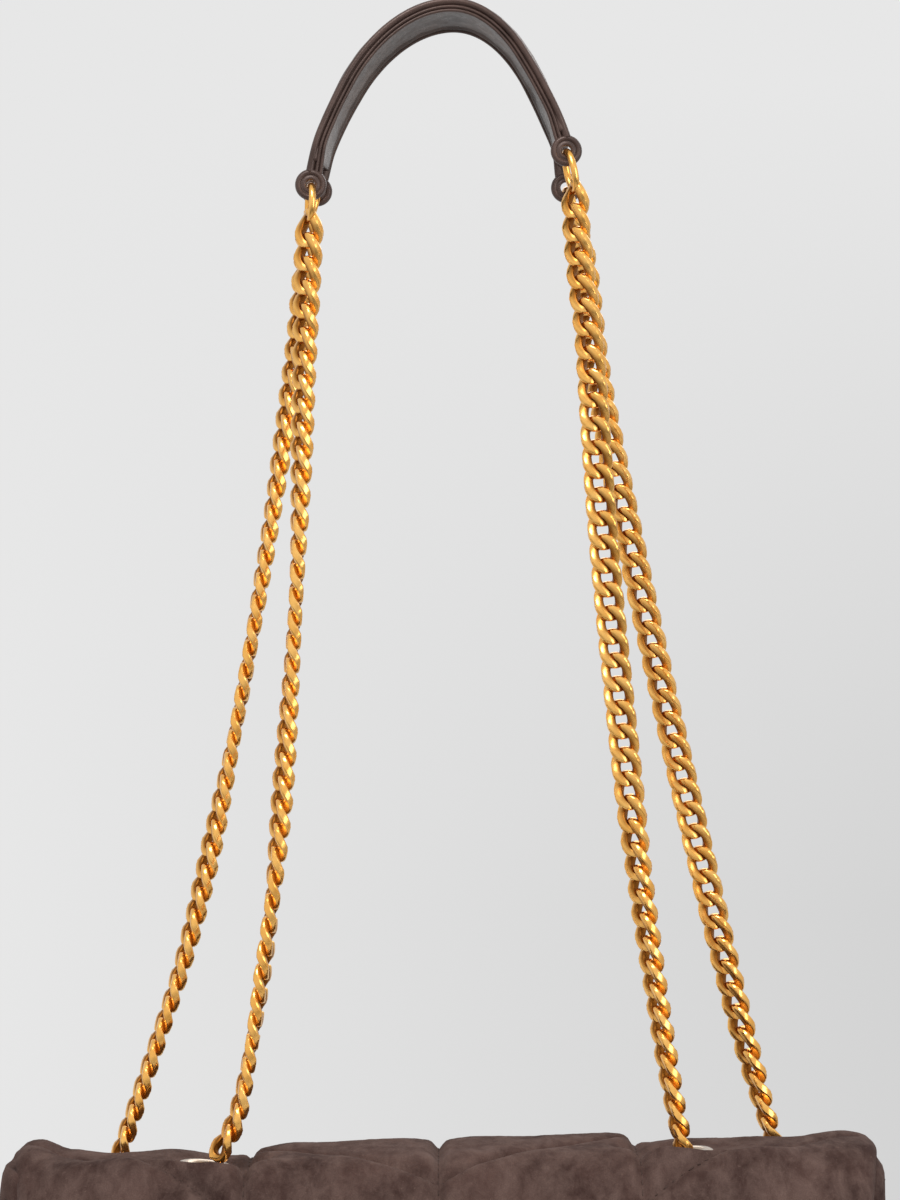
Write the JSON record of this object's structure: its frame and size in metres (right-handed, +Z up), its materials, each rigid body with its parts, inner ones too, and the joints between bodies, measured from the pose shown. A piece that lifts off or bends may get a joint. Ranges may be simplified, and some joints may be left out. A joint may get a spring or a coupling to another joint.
{
  "type": "quilted flap bag",
  "caption": "Quilted suede shoulder bag with a fold-over flap, eyelets in its top and a curb chain strap that carries a curved leather shoulder pad.",
  "frame": {"origin": "bottom centre of the whole bag with its strap held up, on the surface that the base stands on", "axes": "+X across the width to the wearer's right of the front, +Y from the front to the back, +Z up along the strap"},
  "size_m": [0.2888, 0.1102, 0.54],
  "materials": {
    "suede": "matte",
    "lining": "matte",
    "pad_leather": "satin",
    "pad_filling": "matte",
    "stiffener": "matte",
    "gold_metal": "polished",
    "eyelet_metal": "polished"
  },
  "bodies": {
    "bag_body": {"front_panel": "suede", "back_panel": "suede", "gusset_left": "suede", "gusset_right": "suede", "base_panel": "suede", "base_board": "stiffener", "lining_front": "lining", "lining_back": "lining", "lining_left": "lining", "lining_right": "lining", "lining_base": "lining", "slip_pocket": "lining", "snap_lower": "gold_metal"},
    "flap_top": {"flap_top": "suede", "flap_top_lining": "lining", "chain_inner_left": "gold_metal", "chain_inner_right": "gold_metal", "eyelet_front_left": "eyelet_metal", "eyelet_front_right": "eyelet_metal", "eyelet_back_left": "eyelet_metal", "eyelet_back_right": "eyelet_metal", "washer_front_left": "eyelet_metal", "washer_front_right": "eyelet_metal", "washer_back_left": "eyelet_metal", "washer_back_right": "eyelet_metal"},
    "flap_front": {"flap_front": "suede", "flap_front_lining": "lining", "snap_upper": "gold_metal"},
    "front_chain": {"chain_front_left": "gold_metal", "chain_front_right": "gold_metal", "ring_front_left": "gold_metal", "ring_front_right": "gold_metal"},
    "back_chain": {"chain_back_left": "gold_metal", "chain_back_right": "gold_metal", "ring_back_left": "gold_metal", "ring_back_right": "gold_metal"},
    "shoulder_pad": {"pad_upper": "pad_leather", "pad_core": "pad_filling", "pad_lower": "pad_leather", "pad_tab_front_left": "pad_leather", "pad_tab_front_right": "pad_leather", "pad_tab_back_left": "pad_leather", "pad_tab_back_right": "pad_leather"}
  },
  "joints": [
    {"name": "flap_lift", "type": "hinge", "parent": "bag_body", "child": "flap_top", "pos_m": [0, 0.035, 0.148], "axis": [-1, 0, 0], "range_deg": [0, 100]},
    {"name": "flap_fold", "type": "hinge", "parent": "flap_top", "child": "flap_front", "pos_m": [0, -0.0416, 0.14967], "axis": [-1, 0, 0], "range_deg": [0, 100]},
    {"name": "strap_swing", "type": "hinge", "parent": "flap_top", "child": "front_chain", "pos_m": [0, -0.015, 0.16841], "axis": [1, 0, 0], "range_deg": [-60, 60]},
    {"name": "back_swing", "type": "hinge", "parent": "flap_top", "child": "back_chain", "pos_m": [0, 0.015, 0.16841], "axis": [1, 0, 0], "range_deg": [-60, 60]},
    {"name": "pad_level", "type": "hinge", "parent": "front_chain", "child": "shoulder_pad", "pos_m": [0, -0.015, 0.4753], "axis": [1, 0, 0], "range_deg": [-60, 60]}
  ],
  "couplings": [
    {"joint": "back_swing", "follows": "strap_swing", "ratio": 1},
    {"joint": "pad_level", "follows": "strap_swing", "ratio": -1}
  ]
}
